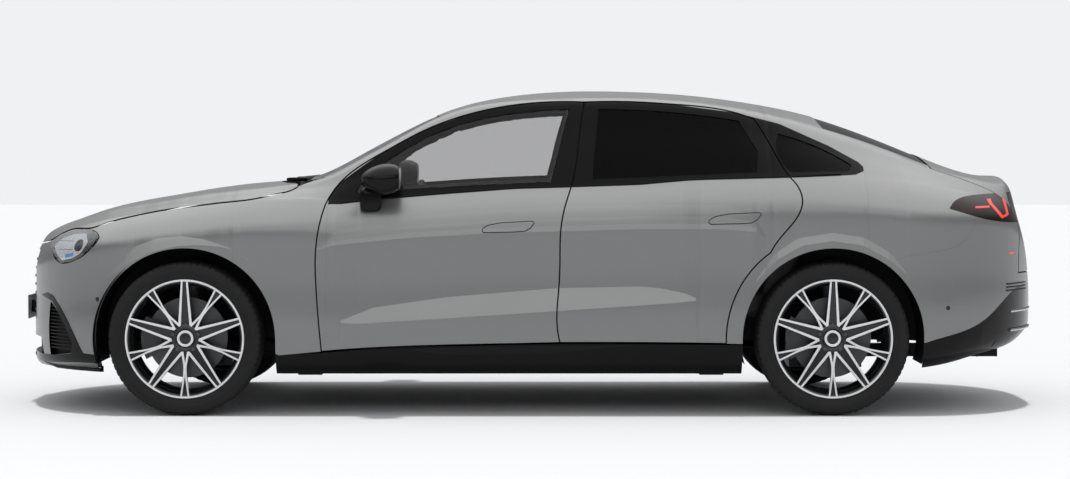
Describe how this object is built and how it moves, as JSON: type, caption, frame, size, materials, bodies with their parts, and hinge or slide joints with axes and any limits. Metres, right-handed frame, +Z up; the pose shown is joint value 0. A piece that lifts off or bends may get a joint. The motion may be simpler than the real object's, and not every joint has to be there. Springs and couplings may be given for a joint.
{
  "type": "luxury sedan",
  "caption": "Long-wheelbase luxury sedan with hinged doors, hood and trunk lid, steered front wheels and star-spoked alloy rims.",
  "frame": {"origin": "on the ground, on the centreline, midway between nose and tail", "axes": "+X points to the rear, +Y to the car's right-hand side, +Z up"},
  "size_m": [4.809, 2.104, 1.4989],
  "materials": {
    "body_paint": "satin",
    "black_trim": "gloss",
    "chassis": "matt",
    "cast_steel": "matt",
    "alloy": "machined",
    "tyre": "matt",
    "glass": "clear",
    "dark_glass": "tinted",
    "lamp_glass": "clear",
    "red_lens": "gloss",
    "seat_leather": "satin",
    "cabin_plastic": "matt",
    "plate_white": "satin"
  },
  "bodies": {
    "shell": {"underbody": "chassis", "battery_pack": "chassis", "front_suspension": "cast_steel", "rear_suspension": "cast_steel", "body_sides": "body_paint", "front_fenders": "body_paint", "front_bumper": "body_paint", "grille": "black_trim", "headlamps": "lamp_glass", "windshield": "glass", "roof_panel": "body_paint", "rear_window": "dark_glass", "cowl": "black_trim", "quarter_windows": "dark_glass", "rear_bumper": "body_paint", "rear_diffuser": "black_trim", "tail_lamps": "red_lens", "sill_trims": "black_trim", "rear_uprights": "cast_steel", "front_seats": "seat_leather", "rear_bench": "seat_leather", "dashboard": "cabin_plastic", "number_plate": "plate_white"},
    "front_left_door": {"front_left_door": "body_paint", "front_left_window": "glass", "left_mirror": "body_paint"},
    "front_right_door": {"front_right_door": "body_paint", "front_right_window": "glass", "right_mirror": "body_paint"},
    "rear_left_door": {"rear_left_door": "body_paint", "rear_left_window": "dark_glass"},
    "rear_right_door": {"rear_right_door": "body_paint", "rear_right_window": "dark_glass"},
    "hood": {"hood": "body_paint"},
    "trunk_lid": {"trunk_lid": "body_paint", "trunk_lamps": "red_lens"},
    "front_left_knuckle": {"front_left_upright": "cast_steel"},
    "front_right_knuckle": {"front_right_upright": "cast_steel"},
    "front_left_wheel": {"front_left_wheel": "alloy", "front_left_tyre": "tyre"},
    "front_right_wheel": {"front_right_wheel": "alloy", "front_right_tyre": "tyre"},
    "rear_left_wheel": {"rear_left_wheel": "alloy", "rear_left_tyre": "tyre"},
    "rear_right_wheel": {"rear_right_wheel": "alloy", "rear_right_tyre": "tyre"},
    "steering_wheel": {"steering_wheel": "cabin_plastic"}
  },
  "joints": [
    {"name": "front_left_door_hinge", "type": "hinge", "parent": "shell", "child": "front_left_door", "pos_m": [-0.9265, -0.9264, 0.64], "axis": [0, 0, -1], "range_deg": [0, 68]},
    {"name": "front_right_door_hinge", "type": "hinge", "parent": "shell", "child": "front_right_door", "pos_m": [-0.9265, 0.9264, 0.64], "axis": [0, 0, 1], "range_deg": [0, 68]},
    {"name": "rear_left_door_hinge", "type": "hinge", "parent": "shell", "child": "rear_left_door", "pos_m": [0.1745, -0.92849, 0.66], "axis": [0, 0, -1], "range_deg": [0, 68]},
    {"name": "rear_right_door_hinge", "type": "hinge", "parent": "shell", "child": "rear_right_door", "pos_m": [0.1745, 0.92849, 0.66], "axis": [0, 0, 1], "range_deg": [0, 68]},
    {"name": "hood_hinge", "type": "hinge", "parent": "shell", "child": "hood", "pos_m": [-1.0135, 0, 1.072], "axis": [0, 1, 0], "range_deg": [0, 55]},
    {"name": "trunk_hinge", "type": "hinge", "parent": "shell", "child": "trunk_lid", "pos_m": [1.8435, 0, 1.195], "axis": [0, -1, 0], "range_deg": [0, 80]},
    {"name": "steer_left", "type": "hinge", "parent": "shell", "child": "front_left_knuckle", "pos_m": [-1.572, -0.74, 0.352], "axis": [0, 0, 1], "range_deg": [-35, 35]},
    {"name": "steer_right", "type": "hinge", "parent": "shell", "child": "front_right_knuckle", "pos_m": [-1.572, 0.74, 0.352], "axis": [0, 0, 1], "range_deg": [-35, 35]},
    {"name": "front_left_spin", "type": "hinge", "parent": "front_left_knuckle", "child": "front_left_wheel", "pos_m": [-1.572, -0.802, 0.352], "axis": [0, 1, 0], "continuous": true},
    {"name": "front_right_spin", "type": "hinge", "parent": "front_right_knuckle", "child": "front_right_wheel", "pos_m": [-1.572, 0.802, 0.352], "axis": [0, 1, 0], "continuous": true},
    {"name": "rear_left_spin", "type": "hinge", "parent": "shell", "child": "rear_left_wheel", "pos_m": [1.39, -0.802, 0.352], "axis": [0, 1, 0], "continuous": true},
    {"name": "rear_right_spin", "type": "hinge", "parent": "shell", "child": "rear_right_wheel", "pos_m": [1.39, 0.802, 0.352], "axis": [0, 1, 0], "continuous": true},
    {"name": "steering_wheel_turn", "type": "hinge", "parent": "shell", "child": "steering_wheel", "pos_m": [-0.4385, -0.375, 0.905], "axis": [0.9063, 0, 0.4226], "range_deg": [-455, 455]}
  ],
  "couplings": [
    {"joint": "steer_right", "follows": "steer_left", "ratio": 1},
    {"joint": "steering_wheel_turn", "follows": "steer_left", "ratio": 13}
  ]
}
